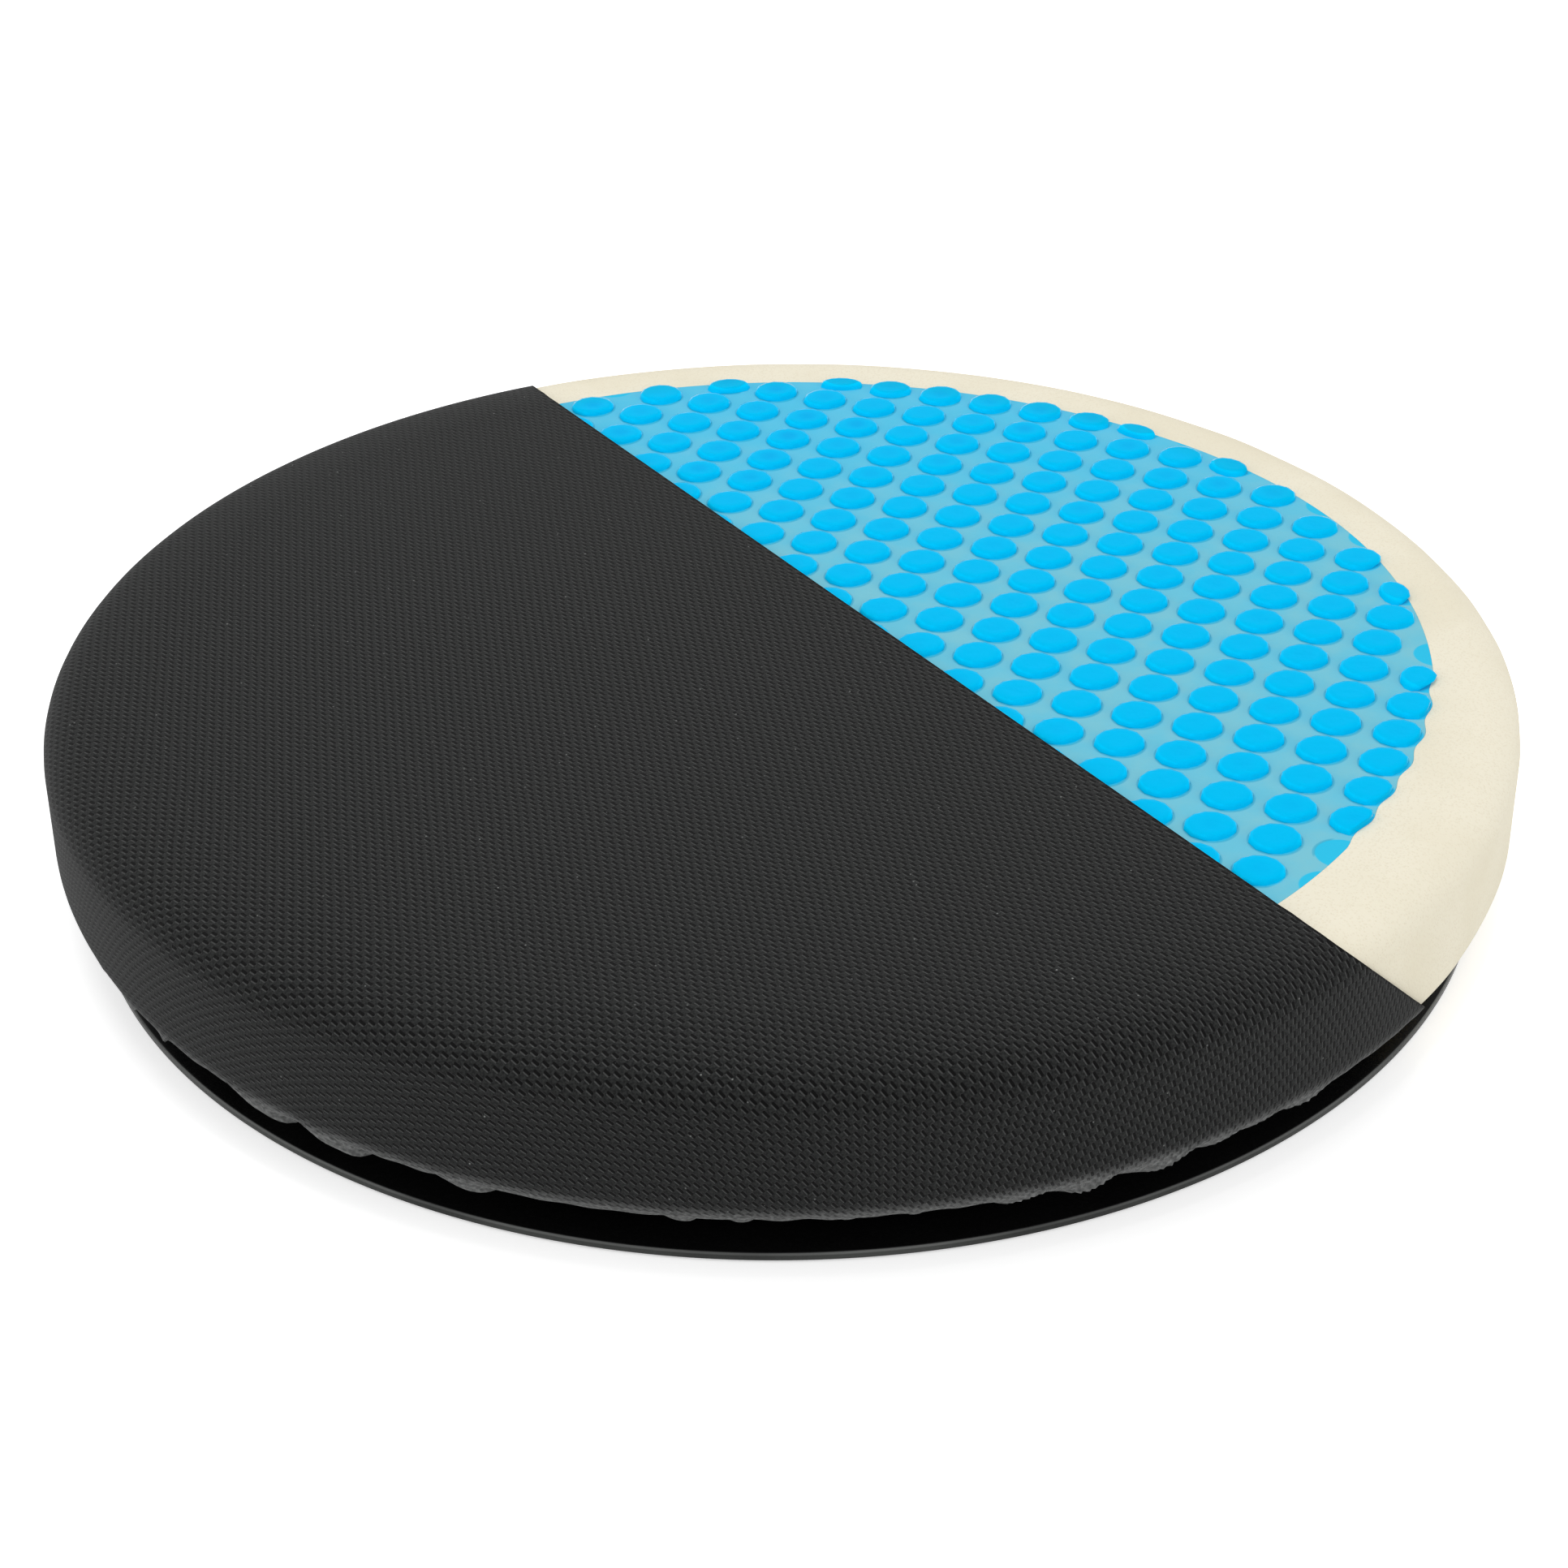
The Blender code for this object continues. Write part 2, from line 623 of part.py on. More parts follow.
def build_cover(fabric, elastic, body):
    """A shell of fabric that is gathered under the cushion by elastic in its hem."""
    outer = cover_side(0)
    inner = cover_side(COVER_THICKNESS)
    bm = turned(outer + inner[::-1], ROUND_STEPS, ring=False)
    foot_radius = foot_centre()[0]
    for vert in bm.verts:
        radius = math.hypot(vert.co.x, vert.co.y)
        column = round(math.atan2(vert.co.y, vert.co.x) / math.tau * ROUND_STEPS)
        if column % 2 and vert.co.z < foot_centre()[1] and radius > hem_radius:
            inward = (radius - hem_radius) / (foot_radius - hem_radius)
            outward = (cover_radius - radius) / (cover_radius - foot_radius)
            fold = min(inward, outward, 1) if vert.co.z > hem_height + ELASTIC_RADIUS else 0
            vert.co.z -= GATHER_DEPTH * max(fold, 0)
    cover = make_object("cover", bm, fabric, body)

    round_elastic = arc((hem_radius, hem_height), ELASTIC_RADIUS, ELASTIC_RADIUS, 0, 360, ELASTIC_SIDES)
    hem = make_object("hem_elastic", turned(round_elastic[:-1], ROUND_STEPS), elastic, body)
    cutter = cut_away_tool("tool_cut_away")
    combine(cover, cutter, "DIFFERENCE")
    combine(hem, cutter, "DIFFERENCE")


clear_scene()
black_plastic = make_material("black_plastic", (0.006, 0.006, 0.006), 0.25)
grey_plastic = make_material("turntable_plastic", (0.02, 0.02, 0.02), 0.45)
rubber = make_material("rubber", (0.015, 0.015, 0.015), 0.85)
nylon = make_material("nylon", (0.75, 0.74, 0.68), 0.45)
steel = make_material("steel", (0.62, 0.62, 0.62), 0.25, metallic=1.0)
foam = make_material("foam", (0.84, 0.79, 0.63), 0.95)
gel = make_material("gel", (0.0, 0.46, 0.88), 0.2)
fabric = make_material("cover_fabric", (0.032, 0.033, 0.032), 0.9)
elastic = make_material("elastic", (0.02, 0.02, 0.02), 0.8)

base_body = make_body("base")
ball_ring_body = make_body("ball_ring")
seat_body = make_body("seat")

build_base_plate(black_plastic, base_body)
build_pads(rubber, base_body)
build_pivot(nylon, steel, base_body, seat_body)
build_ball_ring(nylon, steel, ball_ring_body)
build_turntable(grey_plastic, seat_body)
build_foam(foam, seat_body)
build_gel_pad(gel, seat_body)
build_cover(fabric, elastic, seat_body)
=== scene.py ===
import math
import random

import bpy
from mathutils import Matrix, Vector, noise


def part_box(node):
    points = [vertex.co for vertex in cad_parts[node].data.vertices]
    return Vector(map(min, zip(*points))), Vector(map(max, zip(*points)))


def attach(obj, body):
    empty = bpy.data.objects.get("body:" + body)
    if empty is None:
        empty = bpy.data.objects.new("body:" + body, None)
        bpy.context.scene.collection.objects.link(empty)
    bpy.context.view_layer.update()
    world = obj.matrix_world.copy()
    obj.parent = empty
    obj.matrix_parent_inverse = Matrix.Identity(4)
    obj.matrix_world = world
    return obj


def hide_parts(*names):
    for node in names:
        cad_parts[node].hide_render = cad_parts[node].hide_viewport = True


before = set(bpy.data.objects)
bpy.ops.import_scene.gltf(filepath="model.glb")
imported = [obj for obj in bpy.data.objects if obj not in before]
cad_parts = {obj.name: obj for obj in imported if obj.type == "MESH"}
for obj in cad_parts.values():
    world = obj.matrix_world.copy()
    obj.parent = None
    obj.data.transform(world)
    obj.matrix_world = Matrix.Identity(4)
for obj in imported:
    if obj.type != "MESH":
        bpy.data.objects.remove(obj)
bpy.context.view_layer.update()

# Studio
# A plain pale floor, white surroundings and soft lamps overhead, at a level where a colour renders
# about as it is written. The camera stands in front of the cushion, 31 degrees above it.
camera_tilt = 0.542975
camera_roll = -0.01173
camera_distance = 0.922345
camera_target = Vector((0, 0, 0.02))
towards_camera = Vector((0, -math.cos(camera_tilt), math.sin(camera_tilt)))
bpy.ops.object.camera_add()
camera = bpy.context.object
camera.name = "studio_camera"
camera.matrix_world = (
    Matrix.Translation(camera_target + towards_camera * camera_distance)
    @ Matrix.Rotation(math.pi / 2 - camera_tilt, 4, "X")
    @ Matrix.Rotation(camera_roll, 4, "Z")
)
camera.data.sensor_width = 36
camera.data.lens = 75.78
camera.data.shift_y = -0.0118
bpy.context.scene.camera = camera
bpy.context.scene.view_settings.view_transform = "Standard"


def add_lamp(name, place, size, power):
    """A square soft lamp that faces the middle of the cushion."""
    bpy.ops.object.light_add(type="AREA", location=place)
    lamp = bpy.context.object
    lamp.name = name
    lamp.data.size = size
    lamp.data.energy = power
    lamp.rotation_euler = (camera_target - Vector(place)).to_track_quat("-Z", "Y").to_euler()


add_lamp("overhead_lamp", (-0.2, 0.4, 1.8), 1.3, 11)
add_lamp("left_lamp", (-1.5, -0.5, 0.8), 1.0, 4.5)
add_lamp("right_lamp", (1.5, -0.9, 0.7), 1.0, 6)
add_lamp("front_lamp", (0.2, -1.3, 1.6), 0.8, 3.5)
add_lamp("glint_lamp", (0.1, -0.5, 2.0), 0.05, 1.2)

surroundings = bpy.data.worlds.new("white_surroundings")
surroundings.use_nodes = True
bpy.context.scene.world = surroundings


def add_node(owner, kind, inputs, **settings):
    """A shader node with its settings, and the values or sockets that feed it. Gives its first output."""
    tree = owner.node_tree
    made = tree.nodes.new("ShaderNode" + kind)
    for setting, value in settings.items():
        setattr(made, setting, value)
    for place, value in inputs.items():
        if isinstance(value, bpy.types.NodeSocket):
            tree.links.new(value, made.inputs[place])
        else:
            made.inputs[place].default_value = value
    return made.outputs[0]


def seen_directly(owner):
    """1 where the camera sees a surface itself, in metal or gloss, or through something clear."""
    add_node(owner, "LightPath", {})
    rays = owner.node_tree.nodes["Light Path"].outputs
    first = {0: rays["Is Camera Ray"], 1: rays["Is Glossy Ray"]}
    second = {0: add_node(owner, "Math", first, operation="MAXIMUM"), 1: rays["Is Transmission Ray"]}
    return add_node(owner, "Math", second, operation="MAXIMUM")


soft_light = add_node(surroundings, "Background", {"Color": (1, 1, 1, 1), "Strength": 0.55})
white_backdrop = add_node(surroundings, "Background", {"Color": (1, 1, 1, 1), "Strength": 1})
sky_parts = {0: seen_directly(surroundings), 1: soft_light, 2: white_backdrop}
sky = add_node(surroundings, "MixShader", sky_parts)
surroundings.node_tree.links.new(sky, surroundings.node_tree.nodes["World Output"].inputs["Surface"])

bpy.ops.object.select_all(action="DESELECT")
bpy.ops.mesh.primitive_circle_add(vertices=96, radius=4, fill_type="NGON")
floor = bpy.context.object
floor.name = "studio_floor"
white_floor = bpy.data.materials.new("white_floor")
white_floor.use_nodes = True
floor_shader = white_floor.node_tree.nodes["Principled BSDF"]
floor_shader.inputs["Base Color"].default_value = (0.95, 0.95, 0.95, 1)
floor_shader.inputs["Roughness"].default_value = 1
floor_shader.inputs["Specular IOR Level"].default_value = 0
floor_shader.inputs["Emission Color"].default_value = (1, 1, 1, 1)
lift_to_white = add_node(white_floor, "Math", {0: seen_directly(white_floor), 1: 0.5}, operation="MULTIPLY")
white_floor.node_tree.links.new(lift_to_white, floor_shader.inputs["Emission Strength"])
floor.data.materials.append(white_floor)

# Base plate
# The plate that stands still: black ABS, injection moulded, glossy, with a thin rounded rim that
# shows under the cushion. Years on chairs leave faint scuffs in the gloss.


def new_finish(name):
    """A material and its shader, to which a finish's nodes are fed."""
    finish = bpy.data.materials.new(name)
    finish.use_nodes = True
    return finish, finish.node_tree.nodes["Principled BSDF"]


def feed(finish, socket, place):
    """Feeds a node's output into the finish's own shader."""
    shader = finish.node_tree.nodes["Principled BSDF"]
    finish.node_tree.links.new(socket, shader.inputs[place])


def coordinates(finish, kind="Object"):
    """The place on the piece in metres, or its flat map."""
    return add_node(finish, "TexCoord", {}).node.outputs[kind]


def grain(finish, place, size, detail=2):
    """Noise whose spots are about one size across, in metres."""
    return add_node(finish, "TexNoise", {"Vector": place, "Scale": 1 / size, "Detail": detail})


def spread(finish, value, low, high, first=0, second=1):
    """A value brought smoothly from one range to another."""
    ends = {"Value": value, "From Min": low, "From Max": high, "To Min": first, "To Max": second}
    return add_node(finish, "MapRange", ends, interpolation_type="SMOOTHSTEP")


def shared(finish, first, second):
    """What two shares have in common: their product."""
    return add_node(finish, "Math", {0: first, 1: second}, operation="MULTIPLY")


def part_of(finish, place, axis):
    """How far along X, Y or Z a place lies."""
    return add_node(finish, "SeparateXYZ", {"Vector": place}).node.outputs[axis]


def length_of(finish, arrow):
    """How long an arrow is."""
    return add_node(finish, "VectorMath", {0: arrow}, operation="LENGTH").node.outputs["Value"]


def out_from_axis(finish, place):
    """How far from the pivot axis a place lies."""
    level = add_node(finish, "VectorMath", {0: place, 1: (1, 1, 0)}, operation="MULTIPLY")
    return length_of(finish, level)


def mix_colours(finish, share, first, second):
    """One colour turning into another."""
    ends = {0: share, 6: first, 7: second}
    mixed = add_node(finish, "Mix", ends, data_type="RGBA")
    return mixed.node.outputs[2]


def raise_surface(finish, height, depth):
    """Bump of a real depth, in metres."""
    bump = add_node(finish, "Bump", {"Height": height, "Distance": depth, "Strength": 1})
    feed(finish, bump, "Normal")


def smooth(piece, sharpest=40):
    """Shades a finished piece smooth, apart from its sharp edges."""
    bpy.ops.object.select_all(action="DESELECT")
    piece.select_set(True)
    bpy.context.view_layer.objects.active = piece
    bpy.ops.object.shade_smooth_by_angle(angle=math.radians(sharpest))


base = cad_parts["base_plate"].copy()
base.data = base.data.copy()
base.name = "round_base"
bpy.context.collection.objects.link(base)
rim_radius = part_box("base_plate")[1].x
rim_facets = 60
rounded_from = rim_radius - 0.007
rim_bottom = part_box("base_plate")[0].z
rim_top = rim_bottom + 0.0025
bpy.ops.object.select_all(action="DESELECT")
base.select_set(True)
bpy.context.view_layer.objects.active = base
bpy.ops.object.mode_set(mode="EDIT")
bpy.ops.mesh.select_mode(type="EDGE")
bpy.ops.mesh.select_all(action="SELECT")
bpy.ops.mesh.remove_doubles(threshold=0.000002)
bpy.ops.mesh.select_all(action="DESELECT")
bpy.ops.object.mode_set(mode="OBJECT")
for edge in base.data.edges:
    ends = [base.data.vertices[index].co for index in edge.vertices]
    edge.select = min(end.xy.length for end in ends) > rounded_from
bpy.ops.object.mode_set(mode="EDIT")
bpy.ops.mesh.subdivide(number_cuts=5)
bpy.ops.mesh.select_mode(type="VERT")
bpy.ops.object.mode_set(mode="OBJECT")
for vert in base.data.vertices:
    if vert.co.xy.length > rounded_from:
        turn = math.atan2(vert.co.y, vert.co.x) / math.tau * rim_facets
        from_middle = (turn - math.floor(turn) - 0.5) * math.tau / rim_facets
        out = math.cos(from_middle) / math.cos(math.pi / rim_facets)
        vert.co.x *= out
        vert.co.y *= out
smooth(base, 35)

gloss_black, gloss_shader = new_finish("gloss_black_abs")
gloss_place = coordinates(gloss_black)
moulding = grain(gloss_black, gloss_place, 0.03)
scuffs = grain(gloss_black, gloss_place, 0.0016, 4)
out_from_pivot = out_from_axis(gloss_black, gloss_place)
rim_height = part_of(gloss_black, gloss_place, "Z")
# Painted highlight: the rim's outer face is painted a grey far lighter than the black, lightest just under
# its top corner, dimmer towards the floor and patchy.
at_edge = spread(gloss_black, out_from_pivot, rim_radius - 0.0007, rim_radius - 0.0003)
under_top = spread(gloss_black, rim_height, rim_top - 0.0001, rim_top - 0.0003)
over_foot = spread(gloss_black, rim_height, rim_bottom + 0.0002, rim_bottom + 0.0007, 0.35, 1)
rim_highlight_patches = spread(gloss_black, grain(gloss_black, gloss_place, 0.05, 2), 0.25, 0.65, 0.45, 1)
band = shared(gloss_black, shared(gloss_black, at_edge, under_top), over_foot)
painted_rim_highlight = shared(gloss_black, band, rim_highlight_patches)
corner_line = spread(gloss_black, rim_height, rim_top - 0.0009, rim_top - 0.0005)
rim_highlight_colour = mix_colours(gloss_black, corner_line, (0.075, 0.078, 0.075, 1), (0.15, 0.155, 0.15, 1))
black = mix_colours(gloss_black, moulding, (0.002, 0.002, 0.0021, 1), (0.0035, 0.0035, 0.0036, 1))
feed(gloss_black, mix_colours(gloss_black, painted_rim_highlight, black, rim_highlight_colour), "Base Color")
feed(gloss_black, spread(gloss_black, scuffs, 0.3, 0.75, 0.24, 0.3), "Roughness")
gloss_shader.inputs["Specular IOR Level"].default_value = 0.06
raise_surface(gloss_black, scuffs, 0.000004)
base.data.materials.clear()
base.data.materials.append(gloss_black)
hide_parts("base_plate")
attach(base, "base")

# Non-slip pads
# Eight round feet under the base, die cut from black sheet rubber and pressed into their pockets.
# Their faces are matt and finely pebbled, and dust greys them a little.
pad_rubber, _ = new_finish("black_pad_rubber")
pad_place = coordinates(pad_rubber)
pebbles = add_node(pad_rubber, "TexVoronoi", {"Vector": pad_place, "Scale": 1 / 0.0009})
dust = grain(pad_rubber, pad_place, 0.006, 3)
pad_colour = mix_colours(pad_rubber, dust, (0.012, 0.012, 0.012, 1), (0.035, 0.034, 0.032, 1))
feed(pad_rubber, pad_colour, "Base Color")
feed(pad_rubber, spread(pad_rubber, dust, 0.3, 0.7, 0.75, 0.92), "Roughness")
raise_surface(pad_rubber, pebbles, 0.00012)
for number in range(1, 9):
    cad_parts[f"non_slip_pad_{number}"].material_slots[0].material = pad_rubber

# Pivot bush, thrust washer and ball cage
# Natural white nylon. The flanged bush is pressed into the base, the washer lies under the rivet's
# head, and the cage is a flat ring that keeps the balls apart.
white_nylon, _ = new_finish("natural_nylon")
nylon_place = coordinates(white_nylon)
cloudy = grain(white_nylon, nylon_place, 0.008, 3)
fine_grain = grain(white_nylon, nylon_place, 0.0007)
nylon_colour = mix_colours(white_nylon, cloudy, (0.72, 0.70, 0.63, 1), (0.82, 0.81, 0.76, 1))
feed(white_nylon, nylon_colour, "Base Color")
feed(white_nylon, spread(white_nylon, fine_grain, 0.3, 0.7, 0.38, 0.52), "Roughness")
raise_surface(white_nylon, fine_grain, 0.00004)
for name in ("pivot_bush", "thrust_washer", "ball_cage"):
    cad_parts[name].material_slots[0].material = white_nylon

# Pivot rivet, rivet washer and bearing balls
# Zinc-bright steel rivet and washer at the centre, and eighteen ground steel balls that run between
# the base and the turntable in the cage's pockets.
bright_steel, steel_shader = new_finish("bright_steel")
steel_place = coordinates(bright_steel)
tarnish = grain(bright_steel, steel_place, 0.004, 4)
scratches = grain(bright_steel, steel_place, 0.0004)
steel_colour = mix_colours(bright_steel, tarnish, (0.5, 0.5, 0.51, 1), (0.7, 0.7, 0.69, 1))
feed(bright_steel, steel_colour, "Base Color")
feed(bright_steel, spread(bright_steel, scratches, 0.3, 0.75, 0.16, 0.32), "Roughness")
steel_shader.inputs["Metallic"].default_value = 1
raise_surface(bright_steel, scratches, 0.00001)
balls = [f"bearing_ball_{number:02d}" for number in range(1, 19)]
for name in ["pivot_rivet", "rivet_washer"] + balls:
    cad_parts[name].material_slots[0].material = bright_steel

# Turntable
# The turning plate under the foam, moulded in satin black ABS with a finely spark-eroded face.
satin_black, _ = new_finish("satin_black_abs")
satin_place = coordinates(satin_black)
flow_marks = grain(satin_black, satin_place, 0.04, 3)
eroded = grain(satin_black, satin_place, 0.0006)
satin_colour = mix_colours(satin_black, flow_marks, (0.006, 0.006, 0.006, 1), (0.014, 0.014, 0.014, 1))
feed(satin_black, satin_colour, "Base Color")
feed(satin_black, spread(satin_black, eroded, 0.3, 0.7, 0.4, 0.6), "Roughness")
raise_surface(satin_black, eroded, 0.00005)
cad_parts["turntable_plate"].material_slots[0].material = satin_black

# Foam disc
# Cream memory foam, moulded with a rounded shoulder and foot and a shallow recess for the gel pad,
# and glued to the turntable. Its open cells show as a fine matt grain.
foam_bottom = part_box("foam_disc")[0].z
foam_radius, _, foam_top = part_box("foam_disc")[1]
foam_foot_radius = 0.0115
gel_margin = 0.0235
recess_radius = foam_radius - gel_margin
recess_floor = foam_top - 0.0015


def arc(centre, run, rise, start, end, steps):
    """Points along part of an ellipse, as radius and height. Angles are in degrees."""
    points = []
    for step in range(steps + 1):
        angle = math.radians(start + (end - start) * step / steps)
        points.append((centre[0] + run * math.cos(angle), centre[1] + rise * math.sin(angle)))
    return points


def turn_round_pivot(name, profile, sides):
    """A ring is added at the profile's first point, then extruded and resized through the others."""
    bpy.ops.object.select_all(action="DESELECT")
    radius, height = profile[0]
    bpy.ops.mesh.primitive_circle_add(vertices=sides, radius=radius, location=(0, 0, height), calc_uvs=False)
    piece = bpy.context.object
    piece.name = name
    bpy.ops.object.transform_apply(location=True, rotation=True, scale=True)
    bpy.ops.object.mode_set(mode="EDIT")
    bpy.ops.mesh.select_all(action="SELECT")
    for next_radius, next_height in profile[1:]:
        bpy.ops.mesh.extrude_edges_move(TRANSFORM_OT_translate={"value": (0, 0, next_height - height)})
        size = next_radius / radius
        bpy.ops.transform.resize(value=(size, size, 1), center_override=(0, 0, next_height))
        radius, height = next_radius, next_height
    bpy.ops.object.mode_set(mode="OBJECT")
    return piece


def close_at_axis(piece, height, middle_radius=0.001):
    """Draws the ring next to the axis at this height together into one point."""
    bpy.ops.object.mode_set(mode="EDIT")
    bpy.ops.mesh.select_all(action="DESELECT")
    bpy.ops.object.mode_set(mode="OBJECT")
    for vert in piece.data.vertices:
        vert.select = math.hypot(vert.co.x, vert.co.y) < middle_radius and abs(vert.co.z - height) < 1e-5
    bpy.ops.object.mode_set(mode="EDIT")
    bpy.ops.mesh.merge(type="CENTER")
    bpy.ops.object.mode_set(mode="OBJECT")


def face_outwards(piece):
    """Faces of a closed shape are turned outwards."""
    bpy.ops.object.mode_set(mode="EDIT")
    bpy.ops.mesh.select_all(action="SELECT")
    bpy.ops.mesh.normals_make_consistent(inside=False)
    bpy.ops.object.mode_set(mode="OBJECT")


shoulder_run = 0.013
shoulder_drop = 0.0094
foot_centre = (foam_radius - foam_foot_radius, foam_bottom + foam_foot_radius)
shoulder_centre = (foam_radius - shoulder_run, foam_top - shoulder_drop)
axis_ring = 0.0005
rim_ring = 0.183
foam_profile = [
    (axis_ring, foam_bottom),
    *((ring, foam_bottom) for ring in (0.08, 0.15)),
    *arc(foot_centre, foam_foot_radius, foam_foot_radius, -90, 0, 8),
    *arc(shoulder_centre, shoulder_run, shoulder_drop, 0, 90, 12),
    (rim_ring, foam_top),
    (recess_radius, foam_top),
    *((ring, recess_floor) for ring in (recess_radius, 0.12, 0.06, axis_ring)),
]
foam = turn_round_pivot("foam_body", foam_profile, 720)
close_at_axis(foam, foam_bottom)
close_at_axis(foam, recess_floor)
face_outwards(foam)
for vert in foam.data.vertices:
    radius = math.hypot(vert.co.x, vert.co.y)
    if radius > foot_centre[0]:
        swell = 0.00035 * noise.noise(Vector((vert.co.x, vert.co.y, vert.co.z)) * 45)
        vert.co.x *= 1 + swell / radius
        vert.co.y *= 1 + swell / radius


def gel_reach(azimuth):
    """How much farther than its circle the gel reaches at an azimuth in degrees: it was cut by hand."""
    wide_side = 0.0024 * math.exp(-((azimuth - 24) / 26) ** 2)
    trimmed_side = 0.0026 * math.exp(-((azimuth + 31) / 17) ** 2)
    scallop = 0.0006 + 0.0006 * math.cos(math.tau * (azimuth + 8.7) / 5.15) if -37 < azimuth < -6 else 0
    return wide_side - trimmed_side - scallop


for vert in foam.data.vertices:
    radius = vert.co.xy.length
    if abs(radius - recess_radius) < 0.0001:
        azimuth = math.degrees(math.atan2(vert.co.y, vert.co.x))
        followed = 1 + (gel_reach(azimuth) + 0.00005) / radius
        vert.co.x *= followed
        vert.co.y *= followed
smooth(foam)

cream_foam, foam_shader = new_finish("cream_memory_foam")
foam_place = coordinates(cream_foam)
blotches = spread(cream_foam, grain(cream_foam, foam_place, 0.035, 3), 0.35, 0.7)
cells = add_node(cream_foam, "TexVoronoi", {"Vector": foam_place, "Scale": 1 / 0.0008})
pores = spread(cream_foam, cells, 0.05, 0.5)
foam_colour = mix_colours(cream_foam, blotches, (0.85, 0.80, 0.655, 1), (0.81, 0.755, 0.60, 1))
foam_colour = mix_colours(cream_foam, pores, (0.80, 0.735, 0.58, 1), foam_colour)
foam_height = part_of(cream_foam, foam_place, "Z")
yellowed = spread(cream_foam, foam_height, foam_bottom + 0.001, foam_bottom + 0.006, 1, 0)
foam_colour = mix_colours(cream_foam, yellowed, foam_colour, (0.84, 0.70, 0.36, 1))
feed(cream_foam, foam_colour, "Base Color")
foam_shader.inputs["Roughness"].default_value = 0.95
foam_shader.inputs["Specular IOR Level"].default_value = 0.1
raise_surface(cream_foam, pores, 0.00006)
foam.data.materials.append(cream_foam)
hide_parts("foam_disc")
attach(foam, "seat")

# Gel pad
# One moulded sheet of blue gel, cut by hand to a disc: a thin film with rows of low soft-edged
# bubbles, squeezed or cut off at its edge. It lies in the foam's recess. Past the plane where the
# cover is cut away, the bubbles stand free and a little higher.
cut_azimuth = math.radians(33)
cut_slope = math.radians(46)
cut_offset = 0.0267
crown_rise = 0.0004
cover_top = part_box("cover")[1].z
crown_edge = cover_top - crown_rise
cut_across = Vector((math.cos(cut_azimuth), math.sin(cut_azimuth), 0))
cut_direction = cut_across * math.cos(cut_slope) + Vector((0, 0, math.sin(cut_slope)))
cut_place = cut_across * cut_offset + Vector((0, 0, crown_edge))
film_radius = recess_radius
film_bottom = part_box("gel_pad")[0].z
film_top = foam_top
bubble_radius = 0.0068
bubble_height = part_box("gel_pad")[1].z - film_top
free_bubble_height = 0.0017
stands_free = cut_offset + 0.012
row_turn = math.radians(-22.53)
pitch_along = 0.01658
pitch_across = 0.015375
first_bubble = Vector((0.06495, 0.0233, 0))
bubble_sides = 12
longer_along_row = 0.02
pressed_in = 0.1
pressed_towards = -58
pressed_width = 38
bubble_rings = ((0.985, 0.25), (0.95, 0.58), (0.89, 0.83), (0.78, 0.965), (0.60, 1.0))


def turned_between(angle, other):
    """The smaller angle between two directions, in degrees, with its sign."""
    return (angle - other + 180) % 360 - 180


def squared(angle):
    """How far a bubble's outline reaches at an angle: a little oval, and pressed in on one side."""
    aside = turned_between(math.degrees(angle + row_turn), pressed_towards)
    oval = longer_along_row * math.cos(2 * (angle + row_turn))
    return 1.0 + oval - pressed_in * math.exp(-(aside / pressed_width) ** 2)


bpy.ops.object.select_all(action="DESELECT")
bpy.ops.mesh.primitive_circle_add(vertices=bubble_sides, radius=1, calc_uvs=False)
bubble = bpy.context.object
bubble.name = "one_bubble"
bpy.ops.object.mode_set(mode="EDIT")
bpy.ops.mesh.select_all(action="SELECT")
reach = 1
rise = 0
for next_reach, next_rise in bubble_rings:
    bpy.ops.mesh.extrude_edges_move(TRANSFORM_OT_translate={"value": (0, 0, next_rise - rise)})
    size = next_reach / reach
    bpy.ops.transform.resize(value=(size, size, 1), center_override=(0, 0, next_rise))
    reach, rise = next_reach, next_rise
bpy.ops.mesh.edge_face_add()
bpy.ops.object.mode_set(mode="OBJECT")
for vert in bubble.data.vertices:
    outline = squared(math.atan2(vert.co.y, vert.co.x)) * bubble_radius
    vert.co = (vert.co.x * outline, vert.co.y * outline, vert.co.z * bubble_height)
bubble.data.transform(Matrix.Rotation(row_turn, 4, "Z"))

